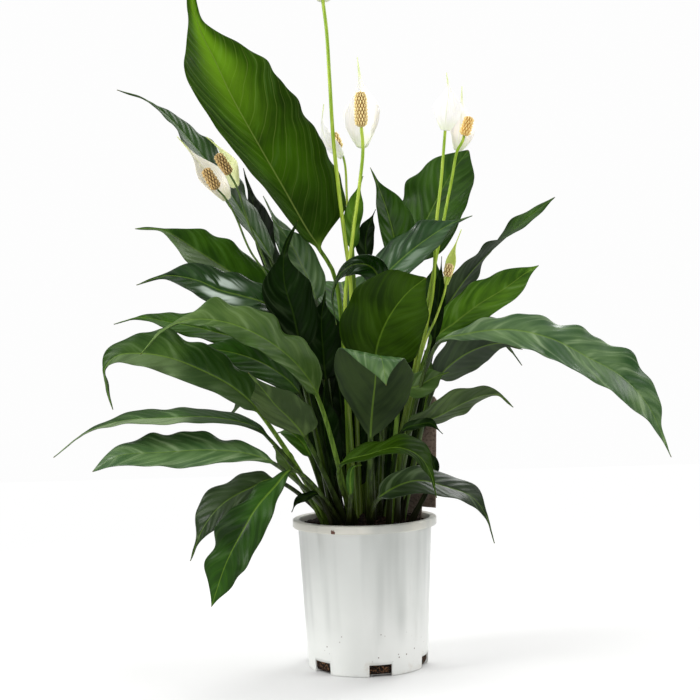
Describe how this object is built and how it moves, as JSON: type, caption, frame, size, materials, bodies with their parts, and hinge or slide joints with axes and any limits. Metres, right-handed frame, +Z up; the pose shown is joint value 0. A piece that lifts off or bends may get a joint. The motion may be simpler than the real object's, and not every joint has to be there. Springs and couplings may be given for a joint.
{
  "type": "potted peace lily",
  "caption": "Peace lily in a white nursery pot: arching glossy leaves on thin stalks, white hooded blooms with knobbly cream columns, dark bark soil and a blank care tag",
  "frame": {"origin": "centre of the pot's foot, on the surface that it stands on", "axes": "+Z is up, the plant's tallest direction; -Y is the side that the plant is seen from; +X is to the right from there"},
  "size_m": [0.5812, 0.4237, 0.7751],
  "materials": {
    "pot_plastic": "white moulded nursery pot, slightly glossy, with small scuffs and soil specks",
    "potting_soil": "dark bark and peat mix, rough and matt",
    "tag_card": "thin greyish brown card, blank",
    "leaf_green": "waxy glossy deep green leaf with a pale midrib and sunken side veins, paler and duller below",
    "stalk_green": "smooth yellow-green flower stalk",
    "spathe_white": "thin white bract, satin, with faint lengthwise veins and a greenish back rib",
    "spadix_cream": "cream florets with brown tips, matt and knobbly"
  },
  "bodies": {
    "root": {"pot": "pot_plastic", "soil": "potting_soil", "care_tag": "tag_card", "leaf_tall_left": "leaf_green", "leaf_back_left": "leaf_green", "leaf_back_left_low": "leaf_green", "leaf_left_high": "leaf_green", "leaf_left_gloss": "leaf_green", "leaf_left_tip": "leaf_green", "leaf_left_front": "leaf_green", "leaf_left_hook": "leaf_green", "leaf_left_long": "leaf_green", "leaf_left_flat": "leaf_green", "leaf_left_low": "leaf_green", "leaf_left_hanging": "leaf_green", "leaf_left_under": "leaf_green", "leaf_left_edge": "leaf_green", "leaf_left_small": "leaf_green", "leaf_centre_broad": "leaf_green", "leaf_front_fold": "leaf_green", "leaf_front_right": "leaf_green", "leaf_right_low": "leaf_green", "leaf_right_under": "leaf_green", "leaf_right_arch": "leaf_green", "leaf_right_bright": "leaf_green", "leaf_right_high": "leaf_green", "leaf_centre_upright": "leaf_green", "leaf_centre_strap": "leaf_green", "leaf_centre_blue": "leaf_green", "leaf_back_broad": "leaf_green", "leaf_grey_upright": "leaf_green", "leaf_dark_upright": "leaf_green", "leaf_low_right": "leaf_green", "leaf_back_middle": "leaf_green", "leaf_back_right": "leaf_green", "leaf_back_low": "leaf_green", "bloom_left_front_stalk": "stalk_green", "bloom_left_front_spathe": "spathe_white", "bloom_left_front_spadix": "spadix_cream", "bloom_left_back_stalk": "stalk_green", "bloom_left_back_spathe": "spathe_white", "bloom_left_back_spadix": "spadix_cream", "bloom_tallest_stalk": "stalk_green", "bloom_tallest_spathe": "spathe_white", "bloom_tallest_spadix": "spadix_cream", "bloom_centre_stalk": "stalk_green", "bloom_centre_spathe": "spathe_white", "bloom_centre_spadix": "spadix_cream", "bloom_slim_stalk": "stalk_green", "bloom_slim_spathe": "spathe_white", "bloom_slim_spadix": "spadix_cream", "bloom_right_left_stalk": "stalk_green", "bloom_right_left_spathe": "spathe_white", "bloom_right_left_spadix": "spadix_cream", "bloom_right_stalk": "stalk_green", "bloom_right_spathe": "spathe_white", "bloom_right_spadix": "spadix_cream", "bloom_small_stalk": "stalk_green", "bloom_small_spathe": "spathe_white", "bloom_small_spadix": "spadix_cream"}
  },
  "joints": []
}
